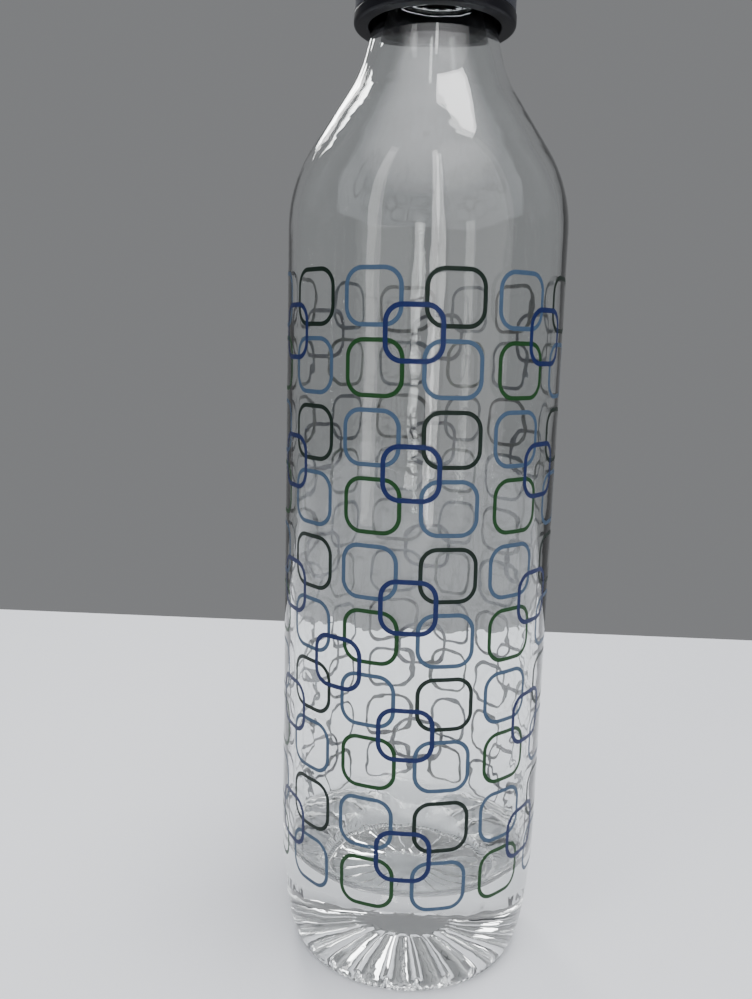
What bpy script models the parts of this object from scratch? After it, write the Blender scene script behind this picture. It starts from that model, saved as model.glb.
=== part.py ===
"""Printed one-litre glass water bottle with a two-tone screw cap.

Metres, +Z up.  The origin is on the bottle's axis, on the plane it stands on.
"""
import math

import bmesh
import bpy

MM = 0.001
FACET_ERROR = 0.1 * MM               # how far a fillet's facets may stray from its arc

# Glass: body, shoulder and neck
BODY_RADIUS = 41.0 * MM
SHOULDER_CORNER_Z = 235.7 * MM       # where the body and the cone would meet
SHOULDER_FILLET = 40.6 * MM
CONE_TOP_RADIUS = 21.3 * MM          # where the cone and the neck would meet
CONE_TOP_Z = 265.8 * MM
CONE_FILLET = 35.7 * MM
FINISH_RADIUS = 17.0 * MM            # the plain cylinder that carries the thread
FINISH_START_Z = 282.0 * MM
FINISH_FILLET = 4.0 * MM
LIP_Z = 298.8 * MM
LIP_ROUND = 0.9 * MM

# Glass: inside surface
BORE_RADIUS = 14.0 * MM
BORE_END_Z = 281.0 * MM
INNER_CONE_TOP_RADIUS = 18.4 * MM
INNER_CONE_TOP_Z = 264.4 * MM
INNER_BODY_RADIUS = 37.8 * MM
INNER_SHOULDER_Z = 234.7 * MM
INNER_SHOULDER_FILLET = 37.4 * MM
BOWL_RIM_Z = 36.0 * MM               # where the straight wall turns into the bowl
FLOOR_Z = 27.0 * MM                  # the bowl's lowest point, on the axis

# Glass: heel and fluted underside
HEEL_HEIGHT = 42.0 * MM
BEARING_OUTER_RADIUS = 34.6 * MM
BEARING_INNER_RADIUS = 32.2 * MM
FLUTE_OUTER_RADIUS = 31.0 * MM
FLUTE_INNER_RADIUS = 9.2 * MM        # edge of the plain centre
FLUTE_END = 2.0 * MM                 # radial width over which a flute ends beside the bearing ring
FLUTE_COUNT = 22
FLUTE_DEPTH = 1.3 * MM               # of the sharp lines between flutes, at their outer end
FLUTE_ROWS = 3                       # rows of facets along a flute
DOME_EDGE_Z = 1.4 * MM               # underside beside the bearing ring
DOME_CENTRE_Z = 10.1 * MM
BOTTLE_SEGMENTS = 4 * FLUTE_COUNT    # four facets to a flute

# Thread: one round-section start on the glass, one inside the cap
THREAD_PITCH = 4.2 * MM
THREAD_ROUND = 1.1 * MM              # radius of the thread's section
THREAD_TURNS = 1.5
THREAD_STEPS = 24                    # points to a turn
NECK_THREAD_Z = 287.7 * MM
THREAD_FADE = 0.12                   # turns over which each end sinks away

# Cap: black threaded insert, grey shell, seal disc
FIT = 0.3 * MM                       # gap kept between touching pieces
CAP_BOTTOM_Z = 279.7 * MM
CAP_TOP_Z = 304.7 * MM
BEAD_RADIUS = 23.1 * MM
BEAD_HEIGHT = 3.3 * MM
BEAD_ROUND = 1.0 * MM
SHELL_RADIUS = 22.8 * MM
SHELL_WALL = 1.5 * MM
SHELL_TOP_WALL = 2.0 * MM
SHELL_TOP_ROUND = 2.5 * MM
SHELL_EDGE_ROUND = 0.4 * MM
INSERT_BORE_RADIUS = 18.9 * MM
INSERT_TOP_WALL = 1.8 * MM
SEAL_RADIUS = 17.8 * MM
SEAL_THICKNESS = 1.2 * MM
CAP_SEGMENTS = 64

FLUTE_DEEPEST_RADIUS = FLUTE_OUTER_RADIUS - FLUTE_END
SHELL_INNER_RADIUS = SHELL_RADIUS - SHELL_WALL
SHELL_CEILING_Z = CAP_TOP_Z - SHELL_TOP_WALL
INSERT_OUTER_RADIUS = SHELL_INNER_RADIUS - FIT
INSERT_TOP_Z = SHELL_CEILING_Z - FIT
INSERT_CEILING_Z = INSERT_TOP_Z - INSERT_TOP_WALL
SEAL_TOP_Z = INSERT_CEILING_Z - FIT
SEAL_BOTTOM_Z = SEAL_TOP_Z - SEAL_THICKNESS
SHELL_BOTTOM_Z = CAP_BOTTOM_Z + BEAD_HEIGHT + FIT
CAP_THREAD_Z = NECK_THREAD_Z + THREAD_PITCH / 2


def start_empty():
    """Remove whatever the scene holds."""
    for existing in list(bpy.data.objects):
        bpy.data.objects.remove(existing, do_unlink=True)


def new_collection(name):
    """Return a new collection linked to the scene."""
    made = bpy.data.collections.new(name)
    bpy.context.scene.collection.children.link(made)
    return made


def material(name, colour, roughness, metallic=0.0, transmission=0.0):
    """Return a Principled material."""
    made = bpy.data.materials.new(name)
    made.use_nodes = True
    shader = made.node_tree.nodes["Principled BSDF"]
    shader.inputs["Base Color"].default_value = (*colour, 1.0)
    shader.inputs["Roughness"].default_value = roughness
    shader.inputs["Metallic"].default_value = metallic
    shader.inputs["Transmission Weight"].default_value = transmission
    return made


def rounded(corners):
    """Return an outline through (radius, z, fillet) corners, with each fillet drawn as an arc."""
    points = [corners[0][:2]]
    for before, corner, after in zip(corners, corners[1:], corners[2:]):
        fillet = corner[2]
        if fillet == 0.0:
            points.append(corner[:2])
            continue
        into = math.atan2(corner[1] - before[1], corner[0] - before[0])
        out = math.atan2(after[1] - corner[1], after[0] - corner[0])
        turn = (out - into + math.pi) % (2 * math.pi) - math.pi
        reach = fillet * math.tan(abs(turn) / 2)
        side = math.copysign(1.0, turn)
        start = (corner[0] - reach * math.cos(into), corner[1] - reach * math.sin(into))
        centre = (start[0] - side * fillet * math.sin(into), start[1] + side * fillet * math.cos(into))
        widest = 2 * math.acos(1 - FACET_ERROR / fillet)
        steps = max(2, math.ceil(abs(turn) / widest))
        for step in range(steps + 1):
            angle = into + turn * step / steps - side * math.pi / 2
            points.append((centre[0] + fillet * math.cos(angle), centre[1] + fillet * math.sin(angle)))
    points.append(corners[-1][:2])
    return points


def elliptic_arc(centre, half_width, half_height, start, end, steps):
    """Return points on an axis-aligned ellipse between two angles in degrees."""
    angles = [math.radians(start + (end - start) * step / steps) for step in range(steps + 1)]
    return [(centre[0] + half_width * math.cos(a), centre[1] + half_height * math.sin(a)) for a in angles]


def turned(name, outline, segments, collection):
    """Return an outline turned about Z; it runs down its outer side."""
    mesh = bpy.data.meshes.new(name)
    vertices = [(radius, 0.0, z) for radius, z in outline]
    edges = [(index, index + 1) for index in range(len(vertices) - 1)]
    if outline[0][0] > 0.0:
        edges.append((len(vertices) - 1, 0))
    mesh.from_pydata(vertices, edges, [])
    made = bpy.data.objects.new(name, mesh)
    collection.objects.link(made)
    screw = made.modifiers.new("Turn", "SCREW")
    screw.steps = segments
    screw.render_steps = segments
    screw.use_merge_vertices = True
    screw.merge_threshold = 0.00001
    return made


def as_mesh(source, name, collection):
    """Replace an object by its evaluated mesh, with doubled points welded."""
    evaluated = source.evaluated_get(bpy.context.evaluated_depsgraph_get())
    mesh = bpy.data.meshes.new_from_object(evaluated)
    shape = bmesh.new()
    shape.from_mesh(mesh)
    bmesh.ops.remove_doubles(shape, verts=shape.verts, dist=0.000001)
    shape.to_mesh(mesh)
    shape.free()
    made = bpy.data.objects.new(name, mesh)
    made.matrix_world = source.matrix_world.copy()
    collection.objects.link(made)
    bpy.data.objects.remove(source, do_unlink=True)
    return made


def helix(name, radius, base_z, sink, collection):
    """Return a round thread as a mesh; its ends sink by `sink` (negative is inward) and shrink."""
    curve = bpy.data.curves.new(name, "CURVE")
    curve.dimensions = "3D"
    curve.bevel_depth = THREAD_ROUND
    curve.bevel_resolution = 1
    curve.use_fill_caps = True
    count = round(THREAD_TURNS * THREAD_STEPS) + 1
    spline = curve.splines.new("POLY")
    spline.points.add(count - 1)
    for index, point in enumerate(spline.points):
        turns = index / THREAD_STEPS
        nearest_end = min(turns, THREAD_TURNS - turns)
        fade = max(0.0, 1.0 - nearest_end / THREAD_FADE)
        reach = radius + sink * fade
        angle = 2 * math.pi * turns
        z = base_z + THREAD_PITCH * turns
        point.co = (reach * math.cos(angle), reach * math.sin(angle), z, 1.0)
        point.radius = 1.0 - 0.5 * fade
    made = bpy.data.objects.new(name, curve)
    collection.objects.link(made)
    bpy.context.view_layer.update()
    return as_mesh(made, name, collection)


def unite(body, thread):
    """Join a thread to the wall that carries it."""
    thread.hide_render = True
    thread.display_type = "WIRE"
    union = body.modifiers.new("Thread", "BOOLEAN")
    union.operation = "UNION"
    union.solver = "EXACT"
    union.object = thread


def dress(piece, surface):
    """Give a piece its material and smooth shading."""
    piece.data.materials.clear()
    piece.data.materials.append(surface)
    piece.data.shade_smooth()


def bottle_outline():
    """Return the glass section from the bowl's lowest point, over the lip, to the dome's centre."""
    bowl = elliptic_arc((0.0, BOWL_RIM_Z), INNER_BODY_RADIUS, BOWL_RIM_Z - FLOOR_Z, -90, 0, 6)
    walls = rounded([
        (INNER_BODY_RADIUS, BOWL_RIM_Z, 0.0),
        (INNER_BODY_RADIUS, INNER_SHOULDER_Z, INNER_SHOULDER_FILLET),
        (INNER_CONE_TOP_RADIUS, INNER_CONE_TOP_Z, CONE_FILLET),
        (BORE_RADIUS, BORE_END_Z, FINISH_FILLET),
        (BORE_RADIUS, LIP_Z, LIP_ROUND),
        (FINISH_RADIUS, LIP_Z, LIP_ROUND),
        (FINISH_RADIUS, FINISH_START_Z, FINISH_FILLET),
        (CONE_TOP_RADIUS, CONE_TOP_Z, CONE_FILLET),
        (BODY_RADIUS, SHOULDER_CORNER_Z, SHOULDER_FILLET),
        (BODY_RADIUS, HEEL_HEIGHT, 0.0),
    ])
    heel_width = BODY_RADIUS - BEARING_OUTER_RADIUS
    heel = elliptic_arc((BEARING_OUTER_RADIUS, HEEL_HEIGHT), heel_width, HEEL_HEIGHT, 0, -90, 4)
    underside = [(BEARING_INNER_RADIUS, 0.0), (FLUTE_OUTER_RADIUS, DOME_EDGE_Z)]
    for step in range(FLUTE_ROWS + 1):
        radius = FLUTE_DEEPEST_RADIUS + (FLUTE_INNER_RADIUS - FLUTE_DEEPEST_RADIUS) * step / FLUTE_ROWS
        underside.append((radius, dome_height(radius)))
    centre = [(0.0, DOME_CENTRE_Z)]
    return bowl[:-1] + walls[:-1] + heel + underside + centre


def dome_height(radius):
    """Return the height of the underside at a radius, before the flutes."""
    share = (FLUTE_OUTER_RADIUS - radius) / (FLUTE_OUTER_RADIUS - FLUTE_INNER_RADIUS)
    return DOME_EDGE_Z + (DOME_CENTRE_Z - DOME_EDGE_Z) * share


def flute(mesh):
    """Press the ring of flutes into the underside: nearly flat lobes that meet in sharp radial lines."""
    for vertex in mesh.vertices:
        x, y, z = vertex.co
        radius = math.hypot(x, y)
        along = (radius - FLUTE_INNER_RADIUS) / (FLUTE_DEEPEST_RADIUS - FLUTE_INNER_RADIUS)
        end = (FLUTE_OUTER_RADIUS - radius) / FLUTE_END
        share = min(along, end, 1.0)
        if share > 0.0 and z < FLOOR_Z - FIT:
            lobe = abs(math.sin(math.atan2(y, x) * FLUTE_COUNT / 2))
            vertex.co.z += FLUTE_DEPTH * share * (1.0 - lobe) ** 2


def build_bottle(parts, cutters, glass):
    """Build the glass with its fluted base and its neck thread."""
    turned_glass = turned("glass_turned", bottle_outline(), BOTTLE_SEGMENTS, parts)
    bpy.context.view_layer.update()
    bottle = as_mesh(turned_glass, "glass_bottle", parts)
    flute(bottle.data)
    thread = helix("neck_thread", FINISH_RADIUS + 0.3 * MM, NECK_THREAD_Z, -THREAD_ROUND, cutters)
    unite(bottle, thread)
    dress(bottle, glass)


def build_insert(parts, cutters, black, axis):
    """Build the threaded insert, whose bead shows below the grey shell."""
    outline = rounded([
        (0.0, INSERT_TOP_Z, 0.0),
        (INSERT_OUTER_RADIUS, INSERT_TOP_Z, 1.2 * MM),
        (INSERT_OUTER_RADIUS, CAP_BOTTOM_Z + BEAD_HEIGHT, 0.0),
        (BEAD_RADIUS, CAP_BOTTOM_Z + BEAD_HEIGHT, BEAD_ROUND / 2),
        (BEAD_RADIUS, CAP_BOTTOM_Z, BEAD_ROUND),
        (INSERT_BORE_RADIUS, CAP_BOTTOM_Z, BEAD_ROUND / 2),
        (INSERT_BORE_RADIUS, INSERT_CEILING_Z, 0.0),
        (0.0, INSERT_CEILING_Z, 0.0),
    ])
    insert = turned("cap_insert", outline, CAP_SEGMENTS, parts)
    thread = helix("cap_thread", INSERT_BORE_RADIUS, CAP_THREAD_Z, THREAD_ROUND, cutters)
    unite(insert, thread)
    dress(insert, black)
    insert.parent = axis


def build_shell(parts, grey, axis):
    """Build the grey outer shell."""
    outline = rounded([
        (0.0, CAP_TOP_Z, 0.0),
        (SHELL_RADIUS, CAP_TOP_Z, SHELL_TOP_ROUND),
        (SHELL_RADIUS, SHELL_BOTTOM_Z, SHELL_EDGE_ROUND),
        (SHELL_INNER_RADIUS, SHELL_BOTTOM_Z, 0.0),
        (SHELL_INNER_RADIUS, SHELL_CEILING_Z, 0.0),
        (0.0, SHELL_CEILING_Z, 0.0),
    ])
    shell = turned("cap_shell", outline, CAP_SEGMENTS, parts)
    dress(shell, grey)
    shell.parent = axis


def build_seal(parts, liner, axis):
    """Build the soft disc that closes on the lip."""
    outline = [
        (0.0, SEAL_TOP_Z),
        (SEAL_RADIUS, SEAL_TOP_Z),
        (SEAL_RADIUS, SEAL_BOTTOM_Z),
        (0.0, SEAL_BOTTOM_Z),
    ]
    seal = turned("seal_disc", outline, CAP_SEGMENTS, parts)
    dress(seal, liner)
    seal.parent = axis


def main():
    start_empty()
    parts = new_collection("water_bottle")
    cutters = new_collection("thread_solids")
    cap_axis = bpy.data.objects.new("cap_axis", None)
    parts.objects.link(cap_axis)
    build_bottle(parts, cutters, material("clear_glass", (0.95, 0.97, 0.96), 0.02, transmission=1.0))
    build_insert(parts, cutters, material("black_plastic", (0.02, 0.02, 0.022), 0.35), cap_axis)
    build_shell(parts, material("grey_plastic", (0.10, 0.10, 0.115), 0.4), cap_axis)
    build_seal(parts, material("dark_liner", (0.03, 0.03, 0.035), 0.6), cap_axis)


main()
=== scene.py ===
"""Looks for the printed glass water bottle.  Metres, +Z up, the viewer on the -Y side."""
import math

import bmesh
import bpy
from mathutils import Matrix, Vector


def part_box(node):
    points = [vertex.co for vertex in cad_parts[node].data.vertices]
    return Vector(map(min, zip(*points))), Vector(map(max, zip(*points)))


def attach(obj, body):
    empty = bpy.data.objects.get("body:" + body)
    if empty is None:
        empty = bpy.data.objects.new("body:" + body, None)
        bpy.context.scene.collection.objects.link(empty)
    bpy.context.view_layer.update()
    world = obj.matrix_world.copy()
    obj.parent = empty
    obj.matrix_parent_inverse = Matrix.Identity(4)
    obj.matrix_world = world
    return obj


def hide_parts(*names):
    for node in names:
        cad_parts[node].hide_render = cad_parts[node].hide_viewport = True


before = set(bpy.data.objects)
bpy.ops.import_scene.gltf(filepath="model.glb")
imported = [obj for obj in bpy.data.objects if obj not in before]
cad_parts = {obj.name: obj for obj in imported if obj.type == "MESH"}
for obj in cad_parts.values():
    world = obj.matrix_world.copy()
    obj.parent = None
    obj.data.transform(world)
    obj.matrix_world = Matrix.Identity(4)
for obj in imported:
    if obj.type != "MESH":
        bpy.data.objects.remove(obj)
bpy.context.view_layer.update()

MM = 0.001
TAU = 2 * math.pi
TOUCH = 0.01 * MM                    # two places closer than this are the same place
NEAR = 0.1 * MM                      # a point this close to a wall belongs to it

# ---------------------------------------------------------------- sizes from the frame
BOTTLE_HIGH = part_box("glass_bottle")[1]
SHELL_LOW, SHELL_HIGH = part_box("cap_shell")
INSERT_LOW, INSERT_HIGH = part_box("cap_insert")

INK_STACK = 0.07 * MM                # room kept outside the glass for two films of ink
BODY_RADIUS = BOTTLE_HIGH.x - INK_STACK
LIP_Z = BOTTLE_HIGH.z
BEAD_RADIUS = INSERT_HIGH.x
CAP_BOTTOM_Z = INSERT_LOW.z
CAP_TOP_Z = SHELL_HIGH.z
SHELL_RADIUS = SHELL_HIGH.x
SHELL_BOTTOM_Z = SHELL_LOW.z

# ---------------------------------------------------------------- glass
SHOULDER_CORNER_Z = 235.7 * MM
SHOULDER_FILLET = 40.6 * MM
CONE_TOP_RADIUS = 21.3 * MM
CONE_TOP_Z = 265.8 * MM
CONE_FILLET = 35.7 * MM
FINISH_RADIUS = 17.0 * MM
FINISH_START_Z = 282.0 * MM
FINISH_FILLET = 4.0 * MM
LIP_ROUND = 0.9 * MM
WALL_ROW = 8 * MM                    # spacing of the mesh rows on the outside
BORE_RADIUS = 14.0 * MM
BORE_END_Z = 281.0 * MM
INNER_CONE_TOP_RADIUS = 18.4 * MM
INNER_CONE_TOP_Z = 264.4 * MM
INNER_BODY_RADIUS = 37.8 * MM
INNER_SHOULDER_Z = 234.7 * MM
INNER_SHOULDER_FILLET = 37.4 * MM
BOWL_RIM_Z = 36.0 * MM
FLOOR_Z = 27.0 * MM
HEEL_HEIGHT = 42.0 * MM
BEARING_OUTER_RADIUS = 34.6 * MM
BEARING_INNER_RADIUS = 32.2 * MM
FLUTE_OUTER_RADIUS = 31.0 * MM
FLUTE_INNER_RADIUS = 9.2 * MM
FLUTE_END = 2.0 * MM                 # length over which a flute's outer end runs out
FLUTE_DEEPEST_RADIUS = FLUTE_OUTER_RADIUS - FLUTE_END
FLUTE_COUNT = 22
FLUTE_DEPTH = 1.3 * MM
DOME_EDGE_Z = 1.4 * MM
DOME_CENTRE_Z = 10.1 * MM
FLUTE_INNER_SHARE = 0.35             # a flute's depth at its inner end, as a share of the full depth
FLUTE_INNER_SLOPE = 8                # how steeply its inner end runs out, in full depths per length
FLUTE_ROWS = 18
BOWL_STEPS = 40
HEEL_STEPS = 30
GLASS_SEGMENTS = 10 * FLUTE_COUNT

KNURL_COUNT = 5 * FLUTE_COUNT        # short bars round the bearing ring
KNURL_TOP_Z = 3.2 * MM
KNURL_DEPTH = 0.45 * MM
KNURL_SEGMENTS = 6 * KNURL_COUNT
KNURL_ROW = 0.35 * MM                # spacing of the mesh rows that carry the bars

WALL_LENSES = 8                      # thick bands round the wall, as a blown wall has
WALL_LENS_DEPTH = 0.19 * MM
WALL_LENS_TURN = math.radians(-92)   # where the middle of one band faces
WALL_LENS_VARIATION = 0.35           # the share by which their depth varies round the wall
WALL_BROAD_WAVE = 0.16 * MM
WALL_NARROW_WAVE = 0.05 * MM
WALL_WAVE_ROW = 4 * MM               # spacing of the mesh rows on the inside
WALL_WAVE_FADE = 70 * MM             # the inside becomes true over this length below the bore
FLOOR_WAVE = 0.5 * MM                # unevenness of the floor inside
FLOOR_SLANT_SHARE = 0.6              # how strong the floor's slanting waves are beside the broad ones

# ---------------------------------------------------------------- thread
THREAD_PITCH = 4.2 * MM
THREAD_ROUND = 1.1 * MM
THREAD_TURNS = 1.5
THREAD_FADE = 0.12                   # share of a turn over which each end runs out
THREAD_END_SHRINK = 0.5              # how much smaller the thread is at its very end
NECK_THREAD_STANDOFF = 0.3 * MM      # from the neck's wall to the middle of its thread
NECK_THREAD_Z = 287.7 * MM
CAP_THREAD_Z = NECK_THREAD_Z + THREAD_PITCH / 2
THREAD_LOW_Z = 285.5 * MM            # the threads lie between these heights
THREAD_HIGH_Z = 298.0 * MM
THREAD_ROW = 0.16 * MM               # spacing of the mesh rows that carry a thread

# ---------------------------------------------------------------- cap
BEAD_HEIGHT = 3.3 * MM
BEAD_ROUND = 1.0 * MM
INSERT_OUTER_RADIUS = 21.0 * MM
INSERT_BORE_RADIUS = 18.9 * MM
INSERT_TOP_WALL = 1.8 * MM
INSERT_TOP_ROUND = 1.2 * MM
PRESS_GAP = 0.3 * MM                 # between the insert's top and the shell's ceiling
SHELL_WALL = 1.5 * MM
SHELL_TOP_WALL = 2.0 * MM
SHELL_TOP_ROUND = 2.5 * MM
SHELL_EDGE_ROUND = 0.4 * MM
CAP_ARC_STEP = math.radians(10)
CAP_SEGMENTS = 256

# ---------------------------------------------------------------- print
MOTIF_COUNT = 6                      # motifs round the body
MOTIF_PITCH = math.radians(59.0)     # the seam, at the back, takes up what is left of the turn
GROUP_COUNT = 5                      # motifs up the body
ROW_PITCH = 18.35 * MM
TOP_ROW_Z = 203.1 * MM               # centre of the highest row of squares
SQUARE_WIDTH = 16.6 * MM
SQUARE_HEIGHT = 15.7 * MM
LINK_WIDTH = 16.5 * MM
LINK_HEIGHT = 15.8 * MM
SQUARE_LINE = 1.2 * MM
LINK_LINE = 1.35 * MM
CORNER_ROUND = 5.2 * MM
RING_POINTS = 88
EXTRA_LINK_ROW = 5.5                 # a single link lies between two motifs, this many rows down
COLUMN_OFFSET = math.radians(15.25)  # from a motif's centre to its columns
PRINT_TURN = math.radians(-3.7)      # the front motif's centre at the top row, from -Y towards +X
PRINT_LEAN = math.radians(2.45)      # how far the print drifts round from its top row to its bottom row
BLUE_REGISTER = math.radians(-0.4)   # how far a screen sits beside the dark ones
GREEN_REGISTER = math.radians(0.4)
FILM = 0.018 * MM
FILM_GAP = 0.008 * MM
OUTSIDE, UNDERSIDE = 0, 1            # an ink piece's material slots
INK_COVER = 0.98
UNDERSIDE_COVER = 0.72
UNDERSIDE_KEEP = 0.45                # share of the ink's colour that is left on its underside
UNDERSIDE_CHALK = 0.16               # and the grey that is added to it
INKS = {
    "light_blue": (0.036, 0.064, 0.108),
    "dark_green": (0.002, 0.009, 0.005),
    "bright_green": (0.005, 0.036, 0.007),
    "dark_blue": (0.004, 0.011, 0.062),
}

# ---------------------------------------------------------------- other looks
GLASS_TINT = (0.975, 0.99, 0.985, 1.0)
GLASS_WAVES_FULL_Z = 50 * MM         # the glass's fine waves fade between these heights
GLASS_WAVES_WEAK_Z = 200 * MM
GLASS_WAVES_WEAK = 0.35
BLACK_PLASTIC = (0.004, 0.004, 0.006)
GREY_PLASTIC = (0.036, 0.037, 0.046)
# the liner's colours are painted dark: painted shade inside the cap, mottled between these two
LINER_SHADE_DARK, LINER_SHADE_LIGHT = (0.018, 0.018, 0.022), (0.040, 0.040, 0.046)
FLOOR_DARK, FLOOR_LIGHT = (0.80, 0.82, 0.86), (0.84, 0.86, 0.90)


def rounded(corners, step=math.radians(3)):
    """Return an outline through (radius, z, fillet) corners, with each fillet drawn as an arc."""
    points = [corners[0][:2]]
    for before, corner, after in zip(corners, corners[1:], corners[2:]):
        fillet = corner[2]
        if fillet == 0.0:
            points.append(corner[:2])
            continue
        into = math.atan2(corner[1] - before[1], corner[0] - before[0])
        out = math.atan2(after[1] - corner[1], after[0] - corner[0])
        turn = (out - into + math.pi) % TAU - math.pi
        reach = fillet * math.tan(abs(turn) / 2)
        side = math.copysign(1.0, turn)
        start = (corner[0] - reach * math.cos(into), corner[1] - reach * math.sin(into))
        centre_r = start[0] - side * fillet * math.sin(into)
        centre_z = start[1] + side * fillet * math.cos(into)
        steps = max(4, math.ceil(abs(turn) / step))
        for index in range(steps + 1):
            angle = into + turn * index / steps - side * math.pi / 2
            points.append((centre_r + fillet * math.cos(angle), centre_z + fillet * math.sin(angle)))
    points.append(corners[-1][:2])
    return points


def elliptic_arc(centre, half_width, half_height, start, end, steps):
    """Return points on an axis-aligned ellipse between two angles in degrees."""
    points = []
    for step in range(steps + 1):
        angle = math.radians(start + (end - start) * step / steps)
        points.append((centre[0] + half_width * math.cos(angle), centre[1] + half_height * math.sin(angle)))
    return points


def densified(outline, spacing, low, high):
    """Return the outline with points added where it runs between two heights."""
    points = [outline[0]]
    for (r0, z0), (r1, z1) in zip(outline, outline[1:]):
        if min(z0, z1) < high and max(z0, z1) > low:
            count = max(1, math.ceil(math.hypot(r1 - r0, z1 - z0) / spacing))
            for index in range(1, count):
                points.append((r0 + (r1 - r0) * index / count, z0 + (z1 - z0) * index / count))
        points.append((r1, z1))
    return points


def finished(shape, name, body, crease):
    """Turn a bmesh into a smooth piece that rides on a CAD body, with edges sharp past `crease` degrees."""
    mesh = bpy.data.meshes.new(name)
    bmesh.ops.recalc_face_normals(shape, faces=shape.faces)
    shape.to_mesh(mesh)
    shape.free()
    mesh.shade_smooth()
    mesh.set_sharp_from_angle(angle=math.radians(crease))
    made = bpy.data.objects.new(name, mesh)
    bpy.context.scene.collection.objects.link(made)
    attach(made, body)
    return made


def lathed(name, outline, segments, body, crease, shaped=None):
    """Make a piece by turning an outline of (radius, z, ...) points about Z.

    `segments` is a number, or a function of a point that gives multiples of the least number.
    `shaped` may move each point; it gets the angle and the point.
    """
    shape = bmesh.new()
    rings = []
    for point in outline:
        if point[0] < TOUCH:
            rings.append([shape.verts.new((0.0, 0.0, point[1]))])
            continue
        ring = []
        count = segments(*point) if callable(segments) else segments
        for index in range(count):
            angle = TAU * index / count
            r, height = shaped(angle, *point) if shaped else point
            ring.append(shape.verts.new((r * math.cos(angle), r * math.sin(angle), height)))
        rings.append(ring)
    for low, high in zip(rings, rings[1:]):
        count = max(len(low), len(high))
        for index in range(count):
            after = (index + 1) % count
            corners = [low[index * len(low) // count], low[after * len(low) // count],
                       high[after * len(high) // count], high[index * len(high) // count]]
            shape.faces.new(list(dict.fromkeys(corners)))
    return finished(shape, name, body, crease)


def thread_reach(angle, z, start_z):
    """Return how far the round thread stands from its own centre line here, or None off the thread."""
    base = angle / TAU
    best = None
    for lap in range(math.ceil(THREAD_TURNS)):
        turns = base + lap
        if turns > THREAD_TURNS:
            break
        offset = z - (start_z + THREAD_PITCH * turns)
        fade = max(0.0, 1.0 - min(turns, THREAD_TURNS - turns) / THREAD_FADE)
        size = THREAD_ROUND * (1.0 - THREAD_END_SHRINK * fade)
        if abs(offset) < size:
            reach = math.sqrt(size * size - offset * offset) - THREAD_ROUND * fade
            best = reach if best is None else max(best, reach)
    return best


# ================================================================ glass
def dome_height(radius):
    """Return the height of the underside at a radius, before the flutes."""
    share = (FLUTE_OUTER_RADIUS - radius) / (FLUTE_OUTER_RADIUS - FLUTE_INNER_RADIUS)
    return DOME_EDGE_Z + (DOME_CENTRE_Z - DOME_EDGE_Z) * share


def glass_outline():
    """Return the glass section as (radius, z, share of the inside's unevenness) points.

    It runs from the bowl's lowest point, over the lip and down the outside, to the dome's centre.
    """
    bowl = elliptic_arc((0.0, BOWL_RIM_Z), INNER_BODY_RADIUS, BOWL_RIM_Z - FLOOR_Z, -90, 0, BOWL_STEPS)
    walls = rounded([
        (INNER_BODY_RADIUS, BOWL_RIM_Z, 0.0),
        (INNER_BODY_RADIUS, INNER_SHOULDER_Z, INNER_SHOULDER_FILLET),
        (INNER_CONE_TOP_RADIUS, INNER_CONE_TOP_Z, CONE_FILLET),
        (BORE_RADIUS, BORE_END_Z, FINISH_FILLET),
        (BORE_RADIUS, LIP_Z, LIP_ROUND),
        (FINISH_RADIUS, LIP_Z, LIP_ROUND),
        (FINISH_RADIUS, FINISH_START_Z, FINISH_FILLET),
        (CONE_TOP_RADIUS, CONE_TOP_Z, CONE_FILLET),
        (BODY_RADIUS, SHOULDER_CORNER_Z, SHOULDER_FILLET),
        (BODY_RADIUS, HEEL_HEIGHT, 0.0),
    ])
    lip = next(index for index, point in enumerate(walls) if point[1] > LIP_Z - TOUCH)
    inner = bowl[:-1] + densified(walls[:lip], WALL_WAVE_ROW, BOWL_RIM_Z, LIP_Z)
    outer = densified(walls[lip:], THREAD_ROW, THREAD_LOW_Z, THREAD_HIGH_Z)
    outer = densified(outer, WALL_ROW, HEEL_HEIGHT, THREAD_LOW_Z)
    heel_width = BODY_RADIUS - BEARING_OUTER_RADIUS
    heel = elliptic_arc((BEARING_OUTER_RADIUS, HEEL_HEIGHT), heel_width, HEEL_HEIGHT, 0, -90, HEEL_STEPS)
    bearing = densified([heel[-1], (BEARING_INNER_RADIUS, 0.0)], KNURL_ROW, -KNURL_TOP_Z, KNURL_TOP_Z)
    underside = [(FLUTE_OUTER_RADIUS, DOME_EDGE_Z)]
    for step in range(FLUTE_ROWS + 1):
        radius = FLUTE_DEEPEST_RADIUS + (FLUTE_INNER_RADIUS - FLUTE_DEEPEST_RADIUS) * step / FLUTE_ROWS
        underside.append((radius, dome_height(radius)))
    centre = [(radius * MM, DOME_CENTRE_Z) for radius in (6, 3, 0)]
    outside = outer + heel[1:] + bearing[1:] + underside + centre
    uneven = [(r, z, max(0.0, min(1.0, (BORE_END_Z - z) / WALL_WAVE_FADE)) ** 2) for r, z in inner]
    return uneven + [(r, z, 0.0) for r, z in outside]


def glass_segments(radius, z, _share):
    """Return how many points a ring of the glass takes: more where the bearing ring is knurled."""
    if z < KNURL_TOP_Z and radius > BEARING_INNER_RADIUS - TOUCH:
        return KNURL_SEGMENTS
    return GLASS_SEGMENTS


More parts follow.
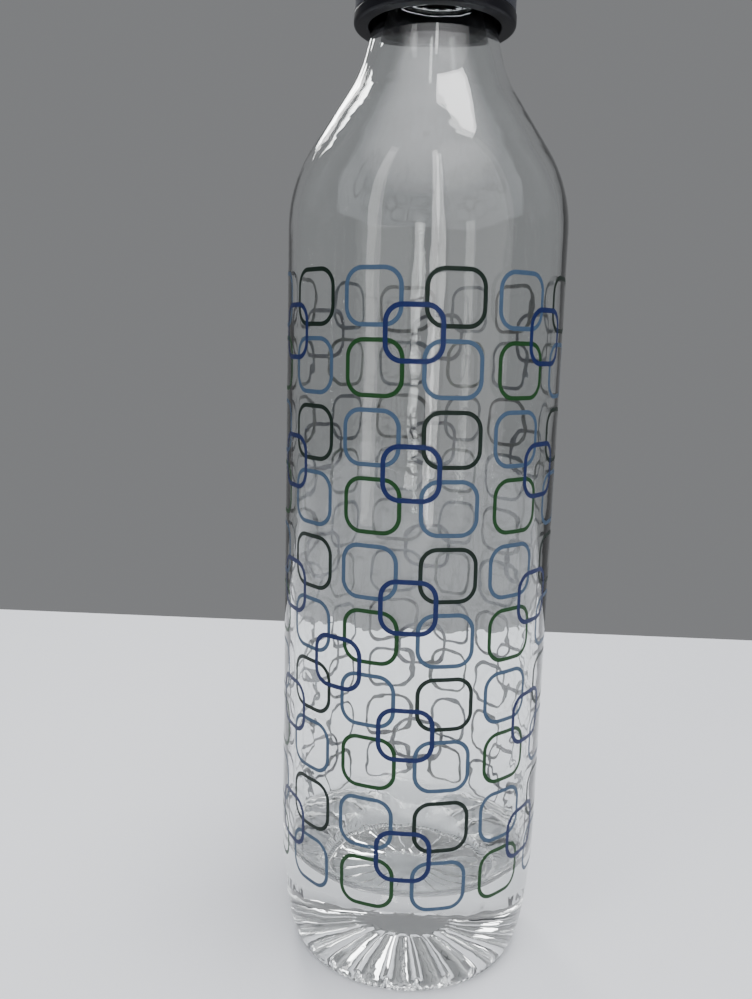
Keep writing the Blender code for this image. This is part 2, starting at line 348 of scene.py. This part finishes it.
def wall_wave(angle, z):
    """Return how far the inside of the wall stands in from its true radius.

    Thick bands run up the wall and wander a little, and two slow spirals lie over them.
    """
    wander = 0.035 * math.sin(z / (17 * MM)) + 0.02 * math.sin(z / (6.5 * MM) + 1.0)
    variation = 1 + WALL_LENS_VARIATION * math.sin(3 * angle + 1.2)
    bands = WALL_LENS_DEPTH * variation * math.cos(WALL_LENSES * (angle - WALL_LENS_TURN + wander))
    broad = WALL_BROAD_WAVE * math.sin(2 * angle + z / (45 * MM))
    narrow = WALL_NARROW_WAVE * math.sin(5 * angle - z / (24 * MM))
    return bands + broad + narrow


def floor_wave(x, y):
    """Return how far the floor inside stands up at a place: the mark of the gob it was blown from."""
    broad = math.sin(x / (4.1 * MM) + 0.7) * math.sin(y / (5.2 * MM) + 0.4)
    slant = FLOOR_SLANT_SHARE * math.sin((x + 1.4 * y) / (6.3 * MM) + 2.0)
    return FLOOR_WAVE * (broad + slant) / (1 + FLOOR_SLANT_SHARE)


def flute_rise(angle, radius):
    """Return how far a flute cuts up into the underside at a place."""
    along = (radius - FLUTE_INNER_RADIUS) / (FLUTE_DEEPEST_RADIUS - FLUTE_INNER_RADIUS)
    taper = FLUTE_INNER_SHARE + (1 - FLUTE_INNER_SHARE) * along
    outer_end = (FLUTE_OUTER_RADIUS - radius) / FLUTE_END
    deep = max(0.0, min(taper, FLUTE_INNER_SLOPE * along, outer_end))
    return FLUTE_DEPTH * deep * (1.0 - abs(math.sin(angle * FLUTE_COUNT / 2))) ** 2


def knurled(angle, radius, z):
    """Return where a point of the bearing ring lies once its short bars are cut.

    They go inwards on its outer side and upwards underneath, and no two are equally deep.
    """
    depth = KNURL_DEPTH * (0.75 + 0.15 * math.sin(7 * angle) + 0.1 * math.sin(23 * angle + 1.0))
    wave = 0.5 * math.cos(KNURL_COUNT * angle)
    if radius > BEARING_OUTER_RADIUS + TOUCH:
        return radius - depth * (0.5 - wave) * math.sin(math.pi * z / KNURL_TOP_Z), z
    return radius, z + depth * (0.5 + wave)


def shape_glass(angle, radius, z, share):
    """Add the uneven inside, the neck thread, the flutes and the knurled bearing ring."""
    if share > 0.0:
        across = radius / INNER_BODY_RADIUS
        if z < BOWL_RIM_Z:
            z += floor_wave(radius * math.cos(angle), radius * math.sin(angle)) * (1 - across ** 4)
            return radius - share * across ** 3 * wall_wave(angle, z), z
        return radius - share * wall_wave(angle, z), z
    if radius > FINISH_RADIUS - NEAR and z > THREAD_LOW_Z:
        reach = thread_reach(angle, z, NECK_THREAD_Z)
        if reach is not None:
            radius = max(radius, FINISH_RADIUS + NECK_THREAD_STANDOFF + reach)
        return radius, z
    if radius <= FLUTE_OUTER_RADIUS and z < FLOOR_Z:
        return radius, z + flute_rise(angle, radius)
    if z < KNURL_TOP_Z:
        return knurled(angle, radius, z)
    return radius, z


# ================================================================ cap
def insert_outline():
    """Return the insert's section, from its top centre down its outer side to its ceiling's centre."""
    top = CAP_TOP_Z - SHELL_TOP_WALL - PRESS_GAP
    outline = rounded([
        (0.0, top, 0.0),
        (INSERT_OUTER_RADIUS, top, INSERT_TOP_ROUND),
        (INSERT_OUTER_RADIUS, CAP_BOTTOM_Z + BEAD_HEIGHT, 0.0),
        (BEAD_RADIUS, CAP_BOTTOM_Z + BEAD_HEIGHT, BEAD_ROUND / 2),
        (BEAD_RADIUS, CAP_BOTTOM_Z, BEAD_ROUND),
        (INSERT_BORE_RADIUS, CAP_BOTTOM_Z, BEAD_ROUND / 2),
        (INSERT_BORE_RADIUS, top - INSERT_TOP_WALL, 0.0),
        (0.0, top - INSERT_TOP_WALL, 0.0),
    ], CAP_ARC_STEP)
    bottom = min(range(len(outline)), key=lambda index: outline[index][1])
    return outline[:bottom] + densified(outline[bottom:], THREAD_ROW, THREAD_LOW_Z, THREAD_HIGH_Z)


def shape_insert(angle, radius, z):
    """Add the inside thread to the turned insert."""
    if abs(radius - INSERT_BORE_RADIUS) < NEAR and z > THREAD_LOW_Z:
        reach = thread_reach(angle, z, CAP_THREAD_Z)
        if reach is not None and reach > 0.0:
            radius = INSERT_BORE_RADIUS - reach
    return radius, z


def shell_outline():
    """Return the shell's section, from its top centre down its outer side to its ceiling's centre."""
    inner = SHELL_RADIUS - SHELL_WALL
    return rounded([
        (0.0, CAP_TOP_Z, 0.0),
        (SHELL_RADIUS, CAP_TOP_Z, SHELL_TOP_ROUND),
        (SHELL_RADIUS, SHELL_BOTTOM_Z, SHELL_EDGE_ROUND),
        (inner, SHELL_BOTTOM_Z, 0.0),
        (inner, CAP_TOP_Z - SHELL_TOP_WALL, 0.0),
        (0.0, CAP_TOP_Z - SHELL_TOP_WALL, 0.0),
    ], CAP_ARC_STEP)


# ================================================================ print
def rounded_rectangle(width, height, radius):
    """Return RING_POINTS evenly spaced points round a rounded rectangle centred on the origin."""
    across, up = width / 2 - radius, height / 2 - radius
    sides = [2 * up, 2 * across, 2 * up, 2 * across]
    corners = [(across, up), (-across, up), (-across, -up), (across, -up)]
    quarter = radius * math.pi / 2
    total = sum(sides) + 4 * quarter
    points = []
    for index in range(RING_POINTS):
        along = total * index / RING_POINTS
        for turn, (side, (cx, cy)) in enumerate(zip(sides, corners)):
            heading = turn * math.pi / 2
            if along < side:
                x = cx + radius * math.cos(heading) + (side - along) * math.sin(heading)
                y = cy + radius * math.sin(heading) - (side - along) * math.cos(heading)
                points.append((x, y))
                break
            along -= side
            if along < quarter:
                angle = heading + along / radius
                points.append((cx + radius * math.cos(angle), cy + radius * math.sin(angle)))
                break
            along -= quarter
    return points


def wall_radius(z):
    """Return the outside radius of the glass at a height below the shoulder."""
    if z >= HEEL_HEIGHT:
        return BODY_RADIUS
    drop = (HEEL_HEIGHT - z) / HEEL_HEIGHT
    return BEARING_OUTER_RADIUS + (BODY_RADIUS - BEARING_OUTER_RADIUS) * math.sqrt(1 - drop * drop)


def print_turn(z):
    """Return the print's drift round the body at a height."""
    return PRINT_TURN + PRINT_LEAN * (TOP_ROW_Z - z) / (ROW_PITCH * (2 * GROUP_COUNT - 1))


def add_ring(shape, turn, z, width, height, line, layer):
    """Add one printed ring to a bmesh: a thin closed film wrapped on the glass, underside marked."""
    outer = rounded_rectangle(width, height, CORNER_ROUND)
    inner = rounded_rectangle(width - 2 * line, height - 2 * line, CORNER_ROUND - line)
    base = FILM_GAP + layer * (FILM + FILM_GAP)
    loops = []
    for points, above in ((outer, base), (outer, base + FILM), (inner, base + FILM), (inner, base)):
        loop = []
        for across, up in points:
            angle = turn + print_turn(z + up) + across / BODY_RADIUS - math.pi / 2
            radius = wall_radius(z + up) + above
            loop.append(shape.verts.new((radius * math.cos(angle), radius * math.sin(angle), z + up)))
        loops.append(loop)
    for first, second in zip(loops, loops[1:] + loops[:1]):
        for index in range(RING_POINTS):
            after = (index + 1) % RING_POINTS
            face = shape.faces.new((first[index], first[after], second[after], second[index]))
            face.material_index = UNDERSIDE if second is loops[0] else OUTSIDE


def add_print(name, rings, colour):
    """Make one ink's piece from its rings, each (turn, z, width, height, line, layer).

    The underside, which shows through the glass, is paler than the outside.
    """
    shape = bmesh.new()
    for ring in rings:
        add_ring(shape, *ring)
    made = finished(shape, name, "bottle", crease=40)
    made.data.materials.append(ink_material(name + "_ink", colour, INK_COVER))
    pale = tuple(UNDERSIDE_KEEP * channel + UNDERSIDE_CHALK for channel in colour)
    made.data.materials.append(ink_material(name + "_ink_underside", pale, UNDERSIDE_COVER))


def print_rings():
    """Return each ink's rings: four squares to a motif, and a link over their inner corners."""
    rings = {ink: [] for ink in INKS}
    square = (SQUARE_WIDTH, SQUARE_HEIGHT, SQUARE_LINE, 0)
    link = (LINK_WIDTH, LINK_HEIGHT, LINK_LINE, 1)
    for motif in range(MOTIF_COUNT):
        turn = MOTIF_PITCH * (motif - MOTIF_COUNT // 2 + 1)
        left, right = turn - COLUMN_OFFSET, turn + COLUMN_OFFSET
        for group in range(GROUP_COUNT):
            upper = TOP_ROW_Z - 2 * group * ROW_PITCH
            lower = upper - ROW_PITCH
            rings["light_blue"].append((left + BLUE_REGISTER, upper, *square))
            rings["dark_green"].append((right, upper, *square))
            rings["bright_green"].append((left + GREEN_REGISTER, lower, *square))
            rings["light_blue"].append((right + BLUE_REGISTER, lower, *square))
            rings["dark_blue"].append((turn, (upper + lower) / 2, *link))
    rings["dark_blue"].append((-MOTIF_PITCH / 2, TOP_ROW_Z - EXTRA_LINK_ROW * ROW_PITCH, *link))
    return rings


# ================================================================ materials
class Nodes:
    """A material's node tree, with short calls for the nodes used here."""

    MIX_A, MIX_B, MIX_RESULT = 6, 7, 2   # the Mix node's colour sockets

    def __init__(self, name):
        self.material = bpy.data.materials.new(name)
        self.material.use_nodes = True
        self.tree = self.material.node_tree
        self.shader = self.tree.nodes["Principled BSDF"]

    def add(self, kind, **values):
        """Add a node; each value sets its property, or else its input, of that name."""
        node = self.tree.nodes.new(kind)
        for key, value in values.items():
            if hasattr(node, key):
                setattr(node, key, value)
            else:
                node.inputs[key.replace("_", " ")].default_value = value
        return node

    def join(self, output, target):
        """Link an output to an input."""
        self.tree.links.new(output, target)

    def set(self, **values):
        """Set inputs of the surface shader."""
        for key, value in values.items():
            self.shader.inputs[key.replace("_", " ")].default_value = value

    def noise(self, scale, detail=2.0):
        """Add noise that stays with the object."""
        place = self.add("ShaderNodeTexCoord")
        noise = self.add("ShaderNodeTexNoise", Scale=scale, Detail=detail)
        self.join(place.outputs["Object"], noise.inputs["Vector"])
        return noise

    def between(self, source, low, high):
        """Map a 0..1 output onto low..high."""
        mapped = self.add("ShaderNodeMapRange", To_Min=low, To_Max=high)
        self.join(source, mapped.inputs["Value"])
        return mapped.outputs["Result"]

    def bump(self, source, strength, distance):
        """Tilt the surface by a height."""
        bump = self.add("ShaderNodeBump", Strength=strength, Distance=distance)
        self.join(source, bump.inputs["Height"])
        self.join(bump.outputs["Normal"], self.shader.inputs["Normal"])
        return bump

    def blotched(self, source, dark, light):
        """Drive the base colour between two colours."""
        mix = self.add("ShaderNodeMix", data_type="RGBA")
        mix.inputs[self.MIX_A].default_value = (*dark, 1.0)
        mix.inputs[self.MIX_B].default_value = (*light, 1.0)
        self.join(source, mix.inputs["Factor"])
        self.join(mix.outputs[self.MIX_RESULT], self.shader.inputs["Base Color"])


def glass_material():
    """Clear soda-lime glass with the fine waviness of a blown wall, strongest low down."""
    nodes = Nodes("clear_glass_fine")
    nodes.set(Base_Color=GLASS_TINT, Roughness=0.0, IOR=1.5, Transmission_Weight=1.0)
    place = nodes.add("ShaderNodeTexCoord")
    split = nodes.add("ShaderNodeSeparateXYZ")
    nodes.join(place.outputs["Object"], split.inputs["Vector"])
    strength = nodes.add("ShaderNodeMapRange", To_Min=1.0, To_Max=GLASS_WAVES_WEAK,
                         From_Min=GLASS_WAVES_FULL_Z, From_Max=GLASS_WAVES_WEAK_Z)
    nodes.join(split.outputs["Z"], strength.inputs["Value"])
    waves = nodes.noise(scale=120.0, detail=1.5)
    bump = nodes.bump(waves.outputs["Fac"], strength=1.0, distance=0.16 * MM)
    nodes.join(strength.outputs["Result"], bump.inputs["Strength"])
    return nodes.material


def ink_material(name, colour, alpha):
    """Fired enamel ink: slightly mottled and slightly see-through."""
    nodes = Nodes(name)
    nodes.set(Roughness=0.38, Alpha=alpha, IOR=1.5, Specular_IOR_Level=0.15)
    grain = nodes.noise(scale=900.0, detail=3.0)
    light = tuple(min(1.0, channel * 1.18 + 0.004) for channel in colour)
    dark = tuple(channel * 0.82 for channel in colour)
    nodes.blotched(grain.outputs["Fac"], dark, light)
    nodes.bump(grain.outputs["Fac"], strength=0.1, distance=0.05 * MM)
    return nodes.material


def plastic_material(name, colour, roughness):
    """Moulded plastic: fine spark-eroded grain and slightly uneven gloss."""
    nodes = Nodes(name)
    nodes.set(IOR=1.48, Specular_IOR_Level=0.2)
    grain = nodes.noise(scale=2600.0)
    patches = nodes.noise(scale=60.0, detail=3.0)
    dark = tuple(channel * 0.9 for channel in colour)
    light = tuple(channel * 1.12 for channel in colour)
    nodes.blotched(patches.outputs["Fac"], dark, light)
    spread = 0.06
    level = nodes.between(patches.outputs["Fac"], roughness - spread, roughness + spread)
    nodes.join(level, nodes.shader.inputs["Roughness"])
    nodes.bump(grain.outputs["Fac"], strength=0.18, distance=0.06 * MM)
    return nodes.material


def liner_material():
    """Soft liner painted dark as the shade inside the cap, on a fine closed-cell surface."""
    nodes = Nodes("liner_foam")
    nodes.set(Roughness=0.6)
    cells = nodes.noise(scale=1500.0)
    nodes.blotched(cells.outputs["Fac"], LINER_SHADE_DARK, LINER_SHADE_LIGHT)
    nodes.bump(cells.outputs["Fac"], strength=0.4, distance=0.1 * MM)
    return nodes.material


def floor_material():
    """Plain pale laminate with barely visible mottling."""
    nodes = Nodes("pale_floor")
    nodes.set(Roughness=0.5)
    mottle = nodes.noise(scale=6.0, detail=4.0)
    nodes.blotched(mottle.outputs["Fac"], FLOOR_DARK, FLOOR_LIGHT)
    return nodes.material


# ================================================================ set
FLOOR_REACH = 1.2                    # how far the floor goes to each side and towards the viewer
FLOOR_FAR_Y = 0.321                  # its far edge
FLOOR_DROP = 0.05 * MM               # it lies just below the bearing ring
LIT_BODY = (0.0, 0.0, 0.16)          # the top light faces this place on the body
LIT_CONE = (0.0, 0.0, 0.26)          # the back light faces this place on the cone
SKY_LEAN = math.radians(25)          # the soft overhead light's middle leans this far towards the viewer
SKY_EDGE = 0.70                      # cosine of the angle from its middle where it has faded out
SKY_DIM = (0.21, 0.214, 0.22, 1.0)
SKY_BRIGHT = (3.0, 3.0, 3.1, 1.0)

CAMERA_PLACE = Vector((0.0, -0.2764, 0.1907))
CAMERA_YAW = math.radians(2.72)      # towards -X
CAMERA_PITCH = math.radians(9.76)    # down
CAMERA_ROLL = math.radians(1.54)
CAMERA_SENSOR = 36.0                 # mm, along the picture's longer side
CAMERA_LENS = 32.4324                # mm


def add_floor():
    """Add the level floor that the bottle stands on."""
    mesh = bpy.data.meshes.new("floor")
    corners = [(-FLOOR_REACH, -FLOOR_REACH, 0), (FLOOR_REACH, -FLOOR_REACH, 0),
               (FLOOR_REACH, FLOOR_FAR_Y, 0), (-FLOOR_REACH, FLOOR_FAR_Y, 0)]
    mesh.from_pydata(corners, [], [(0, 1, 2, 3)])
    floor = bpy.data.objects.new("floor", mesh)
    bpy.context.scene.collection.objects.link(floor)
    floor.location.z = -FLOOR_DROP
    floor.data.materials.append(floor_material())


def add_area(name, centre, target, width, height, radiance):
    """Add a rectangular soft white light of a given brightness that faces a point."""
    data = bpy.data.lights.new(name, "AREA")
    data.shape = "RECTANGLE"
    data.size, data.size_y = width, height
    data.energy = radiance * math.pi * width * height
    lamp = bpy.data.objects.new(name, data)
    bpy.context.scene.collection.objects.link(lamp)
    lamp.location = centre
    lamp.rotation_euler = (Vector(target) - Vector(centre)).to_track_quat("-Z", "Y").to_euler()


def add_wall(name, azimuth, distance, width, height, radiance):
    """Add an upright light that stands on the floor, `azimuth` degrees right of the -Y side."""
    turn = math.radians(azimuth)
    centre = (distance * math.sin(turn), -distance * math.cos(turn), height / 2)
    add_area(name, centre, (0.0, 0.0, height / 2), width, height, radiance)


def add_lights():
    """Light the set from above and behind, with upright strips and a dim wall on the viewer's side."""
    add_area("top", (0.34, 0.04, 1.75), LIT_BODY, width=0.60, height=0.62, radiance=13)
    add_area("back_left", (-0.55, 1.36, 1.16), LIT_CONE, width=0.36, height=0.55, radiance=14)
    add_wall("tall_strip", azimuth=5.5, distance=0.78, width=0.075, height=1.4, radiance=8)
    add_wall("left_strip", azimuth=-41, distance=0.78, width=0.15, height=1.4, radiance=2.2)
    add_wall("right_wall", azimuth=40, distance=1.15, width=1.30, height=2.6, radiance=0.9)


def add_world():
    """Surround the set with a dim grey that brightens to a soft light overhead."""
    world = bpy.data.worlds.new("studio")
    bpy.context.scene.world = world
    world.use_nodes = True
    tree = world.node_tree
    background = tree.nodes["Background"]
    place = tree.nodes.new("ShaderNodeTexCoord")
    towards = tree.nodes.new("ShaderNodeVectorMath")
    towards.operation = "DOT_PRODUCT"
    towards.inputs[1].default_value = (0.0, -math.sin(SKY_LEAN), math.cos(SKY_LEAN))
    ramp = tree.nodes.new("ShaderNodeValToRGB")
    tree.links.new(place.outputs["Generated"], towards.inputs[0])
    tree.links.new(towards.outputs["Value"], ramp.inputs["Fac"])
    stops = ramp.color_ramp.elements
    stops[0].position = SKY_EDGE
    stops[0].color = SKY_DIM
    stops[1].position = 1.0
    stops[1].color = SKY_BRIGHT
    tree.links.new(ramp.outputs["Color"], background.inputs["Color"])
    background.inputs["Strength"].default_value = 1.0


def add_camera():
    """Place the camera close in front of the bottle, looking a little down."""
    data = bpy.data.cameras.new("camera")
    data.sensor_width = CAMERA_SENSOR
    data.lens = CAMERA_LENS
    data.clip_start = 0.01
    camera = bpy.data.objects.new("camera", data)
    bpy.context.scene.collection.objects.link(camera)
    turn = Matrix.Rotation(CAMERA_YAW, 4, "Z") @ Matrix.Rotation(math.pi / 2 - CAMERA_PITCH, 4, "X")
    camera.matrix_world = Matrix.Translation(CAMERA_PLACE) @ turn @ Matrix.Rotation(CAMERA_ROLL, 4, "Z")
    bpy.context.scene.camera = camera


def dress(piece, material, node):
    """Give a piece its material and hide the CAD node that it stands for."""
    piece.data.materials.append(material)
    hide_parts(node)


def main():
    """Make the bottle's pieces, the print and the set."""
    glass = lathed("bottle_glass", glass_outline(), glass_segments, "bottle",
                   crease=35, shaped=shape_glass)
    dress(glass, glass_material(), "glass_bottle")
    insert = lathed("cap_insert_black", insert_outline(), CAP_SEGMENTS, "cap",
                    crease=50, shaped=shape_insert)
    black = plastic_material("black_plastic_fine", BLACK_PLASTIC, roughness=0.34)
    dress(insert, black, "cap_insert")
    shell = lathed("cap_shell_grey", shell_outline(), CAP_SEGMENTS, "cap", crease=50)
    grey = plastic_material("grey_plastic_fine", GREY_PLASTIC, roughness=0.36)
    dress(shell, grey, "cap_shell")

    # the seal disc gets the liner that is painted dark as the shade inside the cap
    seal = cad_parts["seal_disc"]
    seal.data.materials.clear()
    seal.data.materials.append(liner_material())

    for ink, rings in print_rings().items():
        add_print("print_" + ink, rings, INKS[ink])

    add_floor()
    add_lights()
    add_world()
    add_camera()


main()
